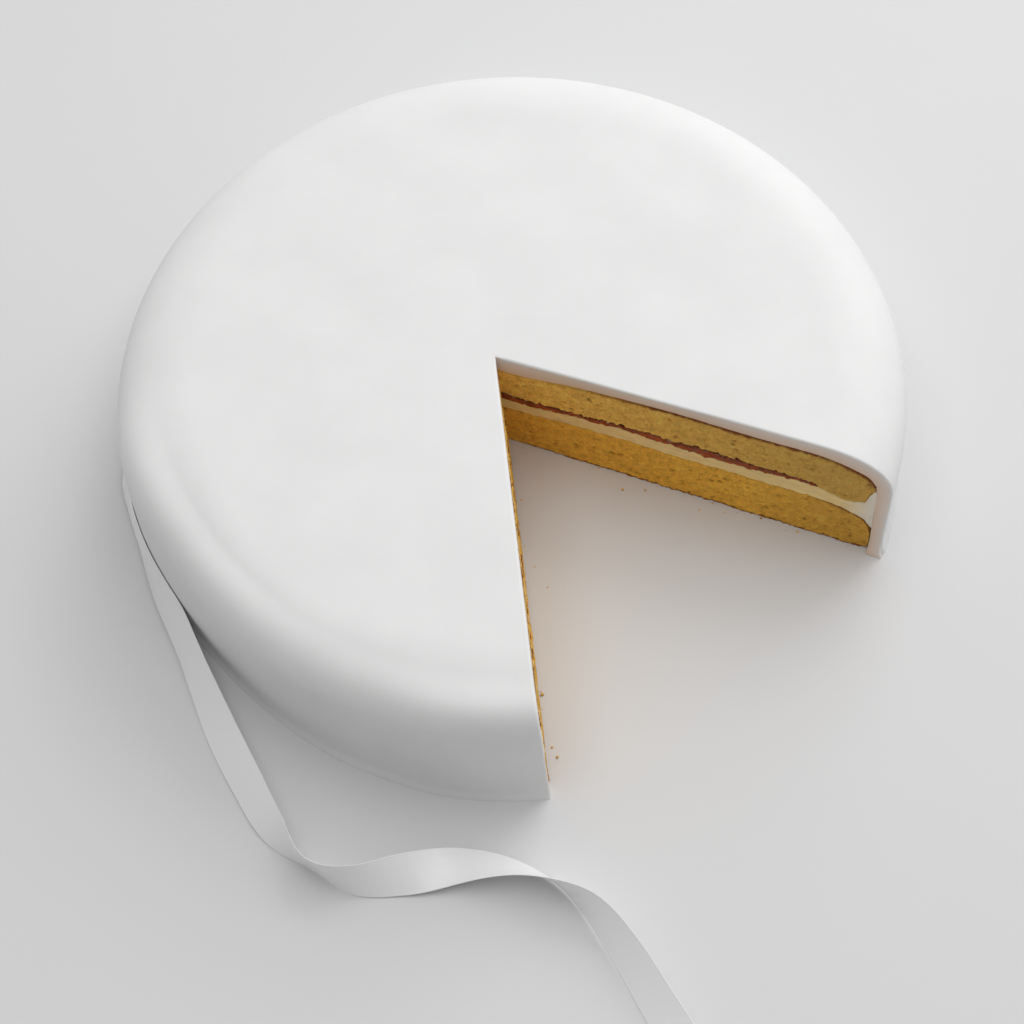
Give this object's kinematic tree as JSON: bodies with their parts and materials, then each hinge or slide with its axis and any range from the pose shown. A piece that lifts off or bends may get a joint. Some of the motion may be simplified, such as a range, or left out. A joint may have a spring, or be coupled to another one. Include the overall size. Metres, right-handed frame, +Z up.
{
  "type": "iced sponge cake",
  "caption": "Round white-iced sponge cake with a slice cut out, showing jam and buttercream filling, and a loose satin ribbon.",
  "frame": {"origin": "centre of the round cake's flat underside, on the surface that it stands on", "axes": "+Z up, the cut slice opens towards -Y and +X, and the ribbon's loose tail runs out towards -Y"},
  "size_m": [0.2537, 0.3592, 0.0504],
  "materials": {
    "icing": "smooth rolled sugar icing with a soft satin surface",
    "sponge_upper": "open golden crumb",
    "sponge_lower": "open golden crumb",
    "jam": "sticky dark red jam",
    "buttercream": "soft whipped buttercream",
    "ribbon": "white woven satin ribbon"
  },
  "bodies": {
    "root": {"icing": "icing", "sponge_upper": "sponge_upper", "jam": "jam", "buttercream": "buttercream", "sponge_lower": "sponge_lower", "ribbon": "ribbon"}
  },
  "joints": []
}
